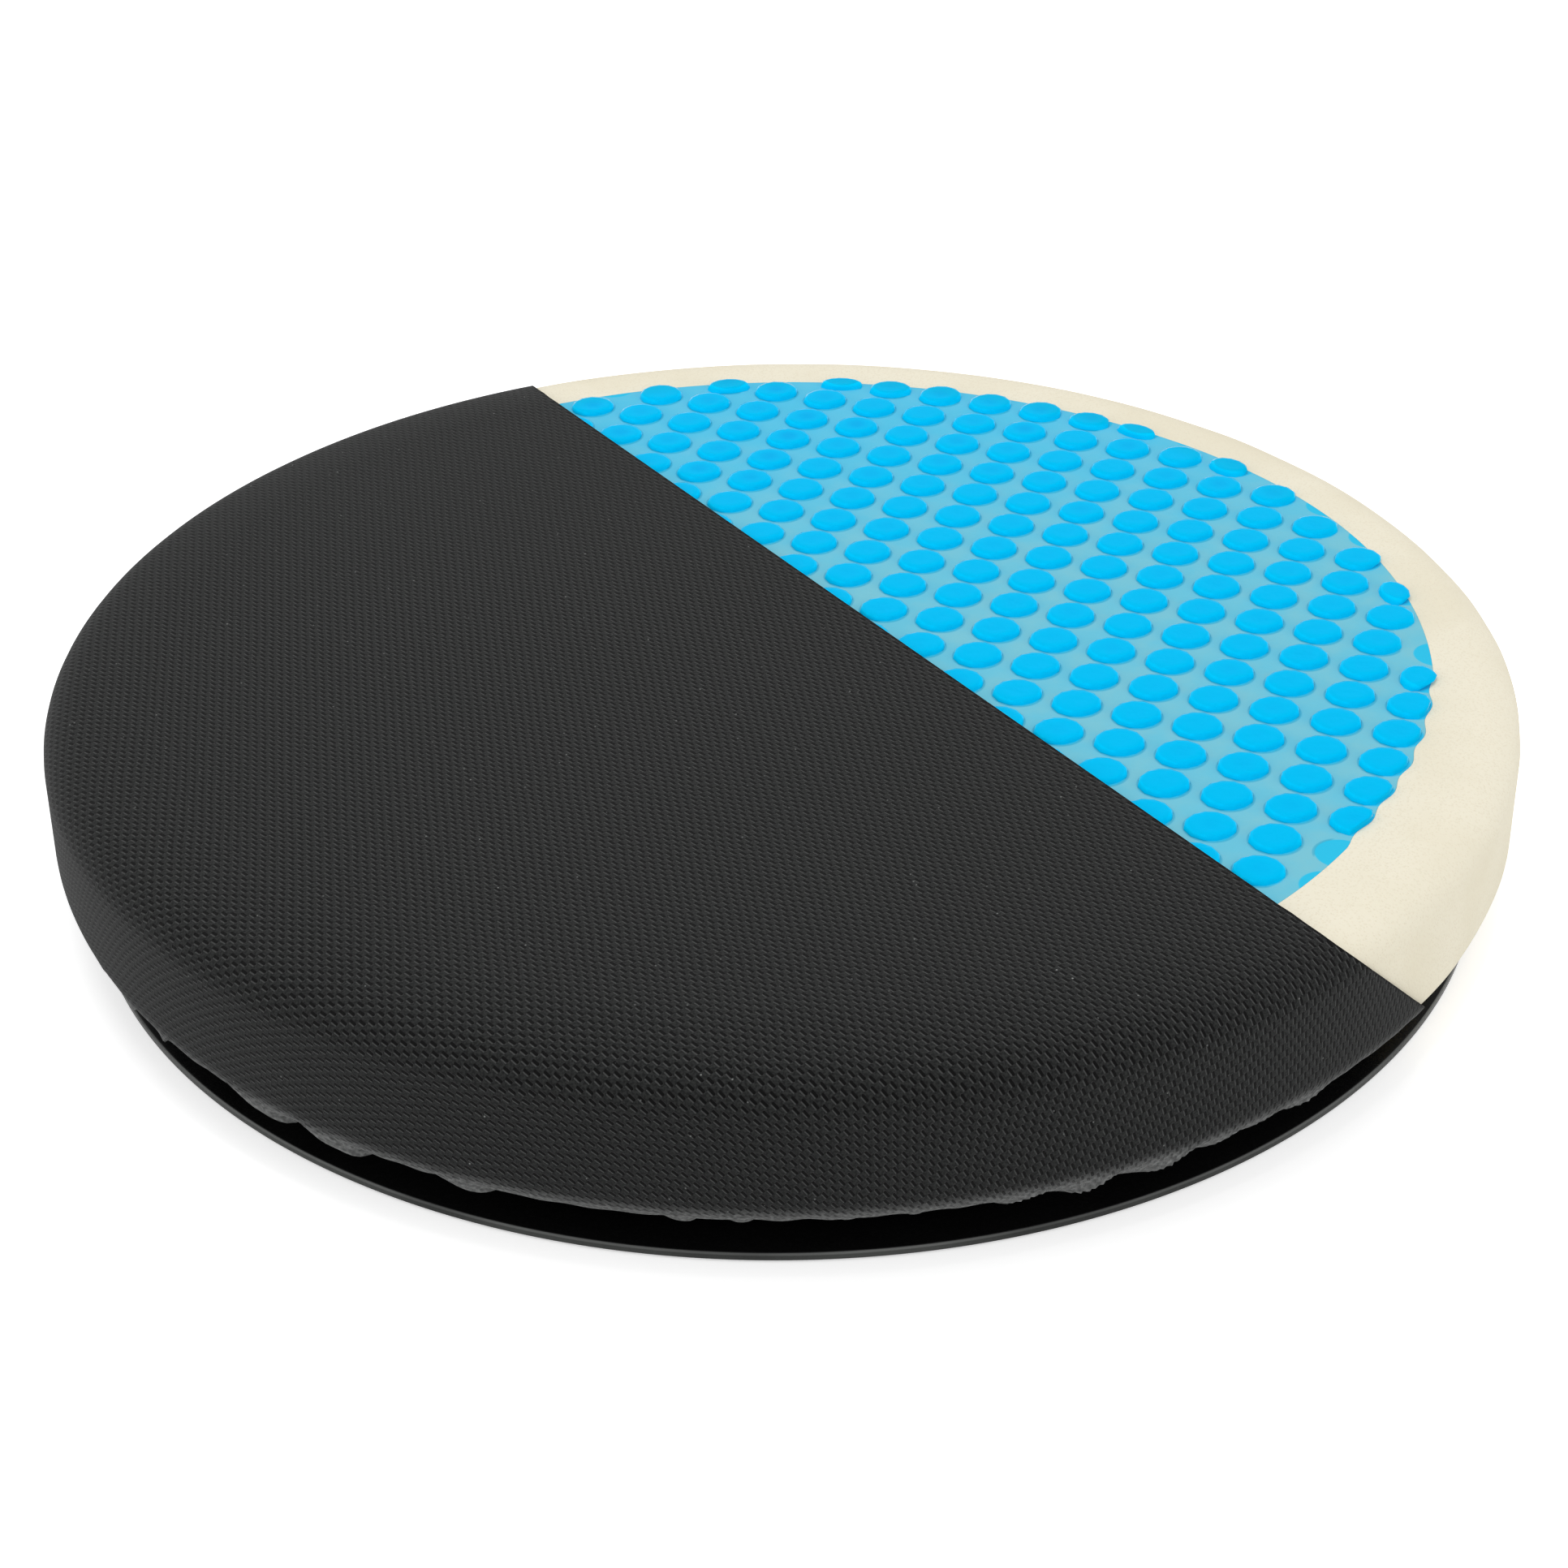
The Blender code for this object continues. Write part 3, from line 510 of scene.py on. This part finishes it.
# Each bubble is copied to its place. One that reaches past the gel's edge is smaller: its foot stays
# on the film and its top swells a little over the foam. Where the gel was trimmed it is cut off.
foot_limit = film_radius - 0.0002
swell_over_foam = 0.0015
trim_round = 0.0025
trimmed_up_to = -10
along = Vector((math.cos(row_turn), math.sin(row_turn), 0)) * pitch_along
across = Vector((-math.sin(row_turn), math.cos(row_turn), 0)) * pitch_across
bubbles = []
for row in range(-18, 19):
    for column in range(-18, 19):
        centre = first_bubble + along * column + across * row
        centre_azimuth = math.degrees(math.atan2(centre.y, centre.x))
        past_edge = centre.length - film_radius - gel_reach(centre_azimuth)
        trimmed = -60 < centre_azimuth < trimmed_up_to
        if past_edge > (-0.001 if trimmed else 0.001):
            continue
        copy = bubble.copy()
        copy.data = bubble.data.copy()
        if centre.dot(cut_across) > stands_free:
            copy.data.transform(Matrix.Diagonal((1, 1, free_bubble_height / bubble_height, 1)))
        copy.data.transform(Matrix.Translation(centre))
        bpy.context.collection.objects.link(copy)
        bubbles.append(copy)
        inner_side = centre.length - bubble_radius
        for vert in copy.data.vertices:
            radius = vert.co.xy.length
            limit = foot_limit + gel_reach(math.degrees(math.atan2(vert.co.y, vert.co.x)))
            moved = radius
            if trimmed and radius > limit - trim_round:
                past_round = (radius - limit + trim_round) / trim_round
                moved = limit - trim_round + trim_round * math.tanh(past_round)
            if not trimmed and past_edge > -bubble_radius:
                limit += swell_over_foam * min(1, vert.co.z / bubble_height * 1.6)
                squeezed = min(1, (limit - inner_side) / (2 * bubble_radius))
                moved = inner_side + (radius - inner_side) * squeezed
            vert.co.x *= moved / radius
            vert.co.y *= moved / radius
            vert.co.z += film_top
bpy.data.objects.remove(bubble)

bpy.ops.object.select_all(action="DESELECT")
bpy.ops.mesh.primitive_circle_add(
    vertices=720, radius=film_radius, location=(0, 0, film_top), calc_uvs=False
)
gel = bpy.context.object
gel.name = "gel_bubble_pad"
bpy.ops.object.transform_apply(location=True, rotation=True, scale=True)
for vert in gel.data.vertices:
    followed = 1 + gel_reach(math.degrees(math.atan2(vert.co.y, vert.co.x))) / film_radius
    vert.co.x *= followed
    vert.co.y *= followed
for copy in bubbles:
    copy.select_set(True)
bpy.context.view_layer.objects.active = gel
bpy.ops.object.join()


def select_open_edges():
    """Selects the edges that have one face or none."""
    bpy.ops.mesh.select_all(action="DESELECT")
    bpy.ops.mesh.select_non_manifold(
        extend=False, use_wire=True, use_boundary=True, use_multi_face=False, use_non_contiguous=False,
        use_verts=False,
    )


bpy.ops.object.mode_set(mode="EDIT")
bpy.ops.mesh.select_mode(type="EDGE")
select_open_edges()
bpy.ops.mesh.fill(use_beauty=True)
select_open_edges()
bpy.ops.mesh.extrude_edges_move(TRANSFORM_OT_translate={"value": (0, 0, film_bottom - film_top)})
bpy.ops.mesh.edge_face_add()
bpy.ops.mesh.select_mode(type="VERT")
bpy.ops.object.mode_set(mode="OBJECT")
face_outwards(gel)
smooth(gel, 50)
flat_tops = gel.modifiers.new("flat_tops", "WEIGHTED_NORMAL")
flat_tops.keep_sharp = True
flat_tops.weight = 100
bpy.context.view_layer.objects.active = gel
bpy.ops.object.modifier_apply(modifier="flat_tops")

blue_gel, gel_shader = new_finish("blue_gel")
gel_place = coordinates(blue_gel)
row_place = add_node(
    blue_gel, "Mapping",
    {
        "Vector": gel_place, "Location": first_bubble, "Rotation": (0, 0, row_turn),
        "Scale": (pitch_along, pitch_across, 1),
    },
    vector_type="TEXTURE",
)
half_cell = add_node(blue_gel, "VectorMath", {0: row_place, 1: (0.5, 0.5, 0)}, operation="ADD")
cell_place = add_node(blue_gel, "VectorMath", {0: half_cell}, operation="FRACTION")
from_centre = add_node(blue_gel, "VectorMath", {0: cell_place, 1: (0.5, 0.5, 0)}, operation="SUBTRACT")
in_metres = add_node(
    blue_gel, "VectorMath", {0: from_centre, 1: (pitch_along, pitch_across, 0)}, operation="MULTIPLY"
)
centre_gap = length_of(blue_gel, in_metres)
bubble_number = add_node(blue_gel, "VectorMath", {0: half_cell}, operation="FLOOR")
chance = add_node(blue_gel, "TexWhiteNoise", {"Vector": bubble_number}, noise_dimensions="2D")

# Bubbles are deeper in colour than the film between them, and gel towards the back is deeper too.
height = part_of(blue_gel, gel_place, "Z")
thickness = spread(blue_gel, height, film_top + 0.00002, film_top + 0.00012)
thin_spots = spread(blue_gel, centre_gap, bubble_radius - 0.0006, bubble_radius)
milky = spread(blue_gel, grain(blue_gel, gel_place, 0.012, 3), 0.3, 0.7, 0.7, 1)
thin_share = shared(blue_gel, thin_spots, milky)
far_back = spread(blue_gel, part_of(blue_gel, gel_place, "Y"), 0.03, 0.16)
thin_colour = mix_colours(blue_gel, far_back, (0.20, 0.55, 0.66, 1), (0.12, 0.55, 0.77, 1))
film_colour = mix_colours(blue_gel, thin_share, (0.03, 0.53, 0.80, 1), thin_colour)
deep_middle = spread(blue_gel, centre_gap, 0.0045, 0.0005)
deep_chance = shared(blue_gel, chance, spread(blue_gel, far_back, 0, 1, 0.25, 0.9))
deep_share = shared(blue_gel, deep_middle, deep_chance)
bubble_colour = mix_colours(blue_gel, deep_share, (0.0, 0.515, 0.90, 1), (0.0, 0.41, 0.83, 1))
from_pivot = out_from_axis(blue_gel, gel_place)
edge_row = spread(blue_gel, from_pivot, film_radius - 0.010, film_radius - 0.002)
edge_share = shared(blue_gel, edge_row, spread(blue_gel, far_back, 0, 1, 0, 0.6))
bubble_colour = mix_colours(blue_gel, edge_share, bubble_colour, (0.0, 0.45, 0.72, 1))
gel_colour = mix_colours(blue_gel, thickness, film_colour, bubble_colour)

# A bubble's wall is painted lighter towards its foot: painted light that lifts the shade it gets where it
# turns away from the lamps overhead. Where the wall leaves the film a thin dark ring is painted: painted
# shade at each bubble's foot.
wall_foot = bubble_radius - 0.0006
painted_wall_light = shared(blue_gel, spread(blue_gel, centre_gap, wall_foot - 0.0008, wall_foot), thickness)
gel_colour = mix_colours(blue_gel, painted_wall_light, gel_colour, (0.0, 0.60, 1.0, 1))
painted_foot_shade = shared(
    blue_gel,
    spread(blue_gel, centre_gap, wall_foot, wall_foot + 0.0003),
    spread(blue_gel, centre_gap, wall_foot + 0.0011, wall_foot + 0.0007),
)
low_down = spread(blue_gel, height, film_top + 0.00035, film_top + 0.00015, 0, 0.5)
painted_foot_shade = shared(blue_gel, painted_foot_shade, low_down)
within_edge = spread(blue_gel, from_pivot, film_radius - 0.0075, film_radius - 0.0065, 1, 0)
painted_foot_shade = shared(blue_gel, painted_foot_shade, within_edge)
gel_colour = mix_colours(blue_gel, painted_foot_shade, gel_colour, (0.0, 0.36, 0.56, 1))
feed(blue_gel, gel_colour, "Base Color")
feed(blue_gel, spread(blue_gel, milky, 0, 1, 0.06, 0.14), "Roughness")
gel_shader.inputs["Specular IOR Level"].default_value = 0.008

# The skin of the gel is glossier where it is looked along at a flat angle, as on any clear moulding.
along_skin = add_node(blue_gel, "LayerWeight", {"Blend": 0.5}).node.outputs["Facing"]
feed(blue_gel, spread(blue_gel, along_skin, 0.64, 0.82), "Coat Weight")
gel_shader.inputs["Coat Roughness"].default_value = 0.08
raise_surface(blue_gel, grain(blue_gel, gel_place, 0.0028, 2), 0.00012)
gel.data.materials.append(blue_gel)
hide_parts("gel_pad")
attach(gel, "seat")

# Hem elastic
# A round cord of rubber with a black braid round it, sewn into the rolled hem of the cover, where
# it grips under the turntable's edge. It ends at the cut in the cover.
elastic_radius = 0.001
hem_radius = -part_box("hem_elastic")[0].x - elastic_radius
hem_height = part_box("hem_elastic")[1].z - elastic_radius
bpy.ops.object.select_all(action="DESELECT")
bpy.ops.mesh.primitive_torus_add(
    major_radius=hem_radius, minor_radius=elastic_radius, major_segments=720, minor_segments=10,
    location=(0, 0, hem_height),
)
elastic = bpy.context.object
elastic.name = "hem_cord"
bpy.ops.object.transform_apply(location=True, rotation=True, scale=True)
for vert in elastic.data.vertices:
    turn = round(math.atan2(vert.co.y, vert.co.x) / math.tau * 720)
    if turn % 2:
        middle = Vector((vert.co.x, vert.co.y, 0)).normalized() * hem_radius + Vector((0, 0, hem_height))
        vert.co = middle.lerp(vert.co, 0.88)
bpy.ops.object.mode_set(mode="EDIT")
bpy.ops.mesh.select_all(action="SELECT")
bpy.ops.mesh.bisect(plane_co=cut_place, plane_no=cut_direction, clear_outer=True, use_fill=True)
bpy.ops.object.mode_set(mode="OBJECT")
face_outwards(elastic)
smooth(elastic)

black_braid, braid_shader = new_finish("black_braid")
braid_place = coordinates(black_braid)
strands = add_node(black_braid, "TexVoronoi", {"Vector": braid_place, "Scale": 1 / 0.0005})
braid_colour = mix_colours(black_braid, strands, (0.01, 0.01, 0.01, 1), (0.045, 0.045, 0.045, 1))
feed(black_braid, braid_colour, "Base Color")
braid_shader.inputs["Roughness"].default_value = 0.85
raise_surface(black_braid, strands, 0.0001)
elastic.data.materials.append(black_braid)
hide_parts("hem_elastic")
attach(elastic, "seat")

# Cover
# A round of charcoal polyester mesh, stretched over foam and gel and drawn in under the cushion by
# the elastic in its rolled hem, where the spare cloth gathers. It is cut away along one plane.
cover_radius = -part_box("cover")[0].x
cover_thickness = 0.0007
off_foam = cover_radius - foam_radius
cover_foot_radius = foam_foot_radius + off_foam
hem_curl = 0.002
crown_radius = film_radius - 0.0035
flat_rings = 5
cover_profile = [(axis_ring, cover_top)]
for step in range(1, flat_rings + 1):
    share = step / flat_rings
    drop = (cover_top - crown_edge) * share * share
    cover_profile.append((crown_radius * share, cover_top - drop))
shoulder_arc = arc(shoulder_centre, shoulder_run + off_foam, shoulder_drop + off_foam, 72, 0, 8)
slope_steps = 4
slope_run = shoulder_arc[0][0] - crown_radius
for step in range(1, slope_steps):
    share = step / slope_steps
    drop = (crown_edge - shoulder_arc[0][1]) * (0.35 * share + 0.65 * share * share)
    cover_profile.append((crown_radius + slope_run * share, crown_edge - drop))
cover_profile += shoulder_arc
cover_profile += arc(foot_centre, cover_foot_radius, cover_foot_radius, 0, -90, 16)
cover_profile += arc((hem_radius, hem_height), hem_curl, hem_curl, 90, 360, 10)

cloth_lengths = [0]
for before, after in zip(cover_profile, cover_profile[1:]):
    cloth_lengths.append(cloth_lengths[-1] + math.dist(before, after))

cover_sides = 1440
cover = turn_round_pivot("stretch_cover", cover_profile, cover_sides)
close_at_axis(cover, cover_top)

# The flat map of the cloth: distance from the middle along the cloth, and direction round it. The
# cloth is stretched down the side, where its holes stand farther apart.
side_start = cloth_lengths[flat_rings]
side_stretch = 1.056


def flat_place(vert):
    """Where a point of the cover lies on the flat cloth."""
    radius = math.hypot(vert.co.x, vert.co.y)
    nearest = min(range(len(cover_profile)), key=lambda k: math.dist(cover_profile[k], (radius, vert.co.z)))
    reach = cloth_lengths[nearest]
    if reach > side_start:
        reach = side_start + (reach - side_start) / side_stretch
    if radius < 1e-6:
        return (0, 0)
    return (vert.co.x / radius * reach, vert.co.y / radius * reach)


flat_places = [flat_place(vert) for vert in cover.data.vertices]
flat_map = cover.data.uv_layers.new(name="flat_cloth")
for loop in cover.data.loops:
    flat_map.data[loop.index].uv = flat_places[loop.vertex_index]

# The gathers. A pouch has its azimuth, width and slant in degrees and its depth in metres. A pleat
# swells from one azimuth to the next and falls back sharply past its crest. Both are deepest where
# the foot of the cover turns under, at the gather angle.
dice = random.Random(7)
gather_angle = -66
gather_top = foot_centre[1] + 0.006
gather_end = foot_centre[0] - 0.004
pleat_slant = 0.07
pleat_crest = 0.88
pouches = [
    (-129.7, 1.55, 0.0034, 0.05), (-122.6, 1.5, 0.0034, 0.05), (-112.1, 1.15, 0.0021, 0.05),
    (-97.0, 0.6, 0.0013, 0.03), (-92.8, 0.45, 0.0009, 0.03), (-86.0, 0.4, 0.0004, 0.0),
    (-81.5, 0.4, 0.0004, 0.0), (-52.0, 0.6, 0.0009, -0.12),
]
pleats = [
    (-76.9, -74.3, 0.0016), (-73.5, -69.2, 0.0027), (-68.4, -63.2, 0.0029), (-62.6, -59.0, 0.0011),
    (-58.6, -55.9, 0.0010), (-55.2, -50.8, 0.0012),
]
azimuth = -138
while azimuth > -300:
    azimuth -= dice.uniform(5, 13)
    pleats.append((azimuth, azimuth + dice.uniform(2.4, 4.6), dice.uniform(0.0018, 0.0034)))
ripples = [
    (dice.randint(30, 130), dice.uniform(0, math.tau), dice.uniform(0.00003, 0.00012)) for _ in range(14)
]
for vert in cover.data.vertices:
    radius = math.hypot(vert.co.x, vert.co.y)
    azimuth = math.degrees(math.atan2(vert.co.y, vert.co.x))
    azimuth = azimuth - 360 if azimuth > 60 else azimuth
    beyond = Vector((radius - foot_centre[0], vert.co.z - foot_centre[1]))
    if vert.co.z > gather_top or radius < gather_end:
        continue
    if radius > foot_centre[0]:
        foot_angle = math.degrees(math.atan2(beyond.y, beyond.x))
        outward = beyond.normalized()
    else:
        foot_angle = -90 + beyond.x / cover_foot_radius * 57
        outward = Vector((0, -1))
    push = 0
    from_deepest = foot_angle - gather_angle
    reach_up = 27 if from_deepest > 0 else 17
    gathered = math.exp(-(from_deepest / reach_up) ** 2)
    for middle, width, depth, slant in pouches:
        away = turned_between(azimuth, middle) + slant * from_deepest
        if abs(away) < 4 * width:
            swelling = math.exp(-(away / width) ** 4) - 0.2 * math.exp(-(away / (2 * width)) ** 2)
            push += depth * gathered * swelling
    for first, last, depth in pleats:
        along_pleat = (azimuth - pleat_slant * from_deepest - first) / (last - first)
        if 0 < along_pleat < 1:
            fall = (1 - along_pleat) / (1 - pleat_crest)
            push += depth * gathered * min((along_pleat / pleat_crest) ** 2, fall)
    ripple = sum(size * math.sin(math.radians(azimuth) * count + phase) for count, phase, size in ripples)
    turned_under = max(0, min(1, (-20 - foot_angle) / 50))
    before_hem = math.exp(-(max(0, -90 - foot_angle) / 12) ** 2)
    push += ripple * turned_under * before_hem
    radius_now = radius + outward.x * push
    vert.co.x *= radius_now / radius
    vert.co.y *= radius_now / radius
    vert.co.z += outward.y * push

bpy.ops.object.mode_set(mode="EDIT")
bpy.ops.mesh.select_all(action="SELECT")
bpy.ops.mesh.bisect(plane_co=cut_place, plane_no=cut_direction, clear_outer=True)
bpy.ops.object.mode_set(mode="OBJECT")
face_outwards(cover)
crown_face = min(cover.data.polygons, key=lambda face: face.center.xy.length)
if crown_face.normal.z < 0:
    bpy.ops.object.mode_set(mode="EDIT")
    bpy.ops.mesh.flip_normals()
    bpy.ops.object.mode_set(mode="OBJECT")
wall = cover.modifiers.new("cloth_thickness", "SOLIDIFY")
wall.thickness = cover_thickness
wall.offset = -1
wall.use_even_offset = True
bpy.context.view_layer.objects.active = cover
bpy.ops.object.modifier_apply(modifier="cloth_thickness")
smooth(cover, 50)

charcoal_mesh, mesh_shader = new_finish("charcoal_polyester_mesh")
first_step = Vector((0.00233, -0.00058))
second_step = Vector((-0.0003, 0.00233))
hole_turn = math.radians(-46)
hole_half = 0.0007


def maths(operation, first, second=0.0):
    """One sum in the cover's pattern."""
    return add_node(charcoal_mesh, "Math", {0: first, 1: second}, operation=operation)


cloth_place = coordinates(charcoal_mesh, "UV")
cloth_x = part_of(charcoal_mesh, cloth_place, "X")
cloth_y = part_of(charcoal_mesh, cloth_place, "Y")
waver = grain(charcoal_mesh, cloth_place, 0.012, 1)
cell_area = first_step.x * second_step.y - first_step.y * second_step.x
wavering = maths("MULTIPLY", waver, 0.3)


def weighed_sum(first, first_share, second, second_share):
    """Two values, each times its own share, added up."""
    return maths("ADD", maths("MULTIPLY", first, first_share), maths("MULTIPLY", second, second_share))


def steps_along(x_share, y_share):
    """How many steps of the mesh a place lies from the middle, along one of its two directions."""
    straight = weighed_sum(cloth_x, x_share / cell_area, cloth_y, y_share / cell_area)
    return maths("ADD", straight, wavering)


first_part = maths("SUBTRACT", maths("FRACT", steps_along(second_step.y, -second_step.x)), 0.5)
second_part = maths("SUBTRACT", maths("FRACT", steps_along(-first_step.y, first_step.x)), 0.5)
side_x = weighed_sum(first_part, first_step.x, second_part, second_step.x)
side_y = weighed_sum(first_part, first_step.y, second_part, second_step.y)
along_hole = weighed_sum(side_x, math.cos(hole_turn), side_y, math.sin(hole_turn))
beside_hole = weighed_sum(side_x, -math.sin(hole_turn), side_y, math.cos(hole_turn))
past_end = maths("MAXIMUM", maths("SUBTRACT", maths("ABSOLUTE", along_hole), hole_half), 0.0)


def stroke(offset, inner, outer):
    """A short stroke beside or on the hole, 1 in its middle."""
    aside = maths("SUBTRACT", beside_hole, offset)
    distance = maths("SQRT", weighed_sum(aside, aside, past_end, past_end))
    return spread(charcoal_mesh, distance, inner, outer, 1, 0)


hole = stroke(0.0, 0.00027, 0.00045)
thread = stroke(-0.00056, 0.00006, 0.00022)
yarn = grain(charcoal_mesh, cloth_place, 0.0006, 3)
fading = grain(charcoal_mesh, cloth_place, 0.06, 3)
side_height = part_of(charcoal_mesh, coordinates(charcoal_mesh), "Z")
rolled_hem = spread(charcoal_mesh, side_height, 0.0235, 0.0170)
hole = maths("MULTIPLY", hole, maths("SUBTRACT", 1.0, maths("MULTIPLY", rolled_hem, 0.75)))

# Towards the back the weave shows less.
weave_shows = spread(charcoal_mesh, cloth_y, 0.0, 0.13, 1, 0.55)
hole = maths("MULTIPLY", hole, weave_shows)
thread = maths("MULTIPLY", thread, weave_shows)
cloth_colour = mix_colours(charcoal_mesh, fading, (0.0200, 0.0208, 0.0204, 1), (0.0252, 0.0264, 0.0256, 1))
flecks = spread(charcoal_mesh, yarn, 0.35, 0.65)
cloth_colour = mix_colours(charcoal_mesh, flecks, (0.008, 0.0085, 0.0085, 1), cloth_colour)
thread_share = maths("MULTIPLY", thread, 0.85)
cloth_colour = mix_colours(charcoal_mesh, thread_share, cloth_colour, (0.066, 0.0685, 0.067, 1))
# Near the hem the cloth is painted paler: partly the rolled hem's own paler knit, partly painted light that
# lifts the shade where the cloth turns under.
pale_hem_patches = spread(charcoal_mesh, grain(charcoal_mesh, cloth_place, 0.0014, 3), 0.35, 0.7, 0.4, 1)
pale_hem_and_painted_light = maths("MULTIPLY", rolled_hem, pale_hem_patches)
cloth_colour = mix_colours(charcoal_mesh, pale_hem_and_painted_light, cloth_colour, (0.205, 0.209, 0.206, 1))
cloth_colour = mix_colours(charcoal_mesh, hole, cloth_colour, (0.0005, 0.0005, 0.0005, 1))
# Painted shadow: a thin near-black line on the cloth along its cut edge.
from_cut = add_node(
    charcoal_mesh, "VectorMath", {0: coordinates(charcoal_mesh), 1: cut_direction}, operation="DOT_PRODUCT"
).node.outputs["Value"]
at_cut = cut_place.dot(cut_direction)
painted_cut_shadow = spread(charcoal_mesh, from_cut, at_cut - 0.0006, at_cut - 0.0003)
cloth_colour = mix_colours(charcoal_mesh, painted_cut_shadow, cloth_colour, (0.001, 0.001, 0.001, 1))
lint = add_node(charcoal_mesh, "TexVoronoi", {"Vector": cloth_place, "Scale": 1 / 0.006})
lint_spot = spread(charcoal_mesh, lint, 0.02, 0.055, 1, 0)
lint_spot = maths("MULTIPLY", lint_spot, spread(charcoal_mesh, fading, 0.35, 0.7, 0.25, 0.7))
cloth_colour = mix_colours(charcoal_mesh, lint_spot, cloth_colour, (0.35, 0.36, 0.35, 1))
feed(charcoal_mesh, cloth_colour, "Base Color")
mesh_shader.inputs["Roughness"].default_value = 0.88
mesh_shader.inputs["Specular IOR Level"].default_value = 0.1
mesh_shader.inputs["Sheen Weight"].default_value = 0.08
cloth_height = maths("SUBTRACT", weighed_sum(yarn, 0.3, thread, 0.5), hole)
raise_surface(charcoal_mesh, cloth_height, 0.00035)
cover.data.materials.append(charcoal_mesh)

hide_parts("cover")
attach(cover, "seat")
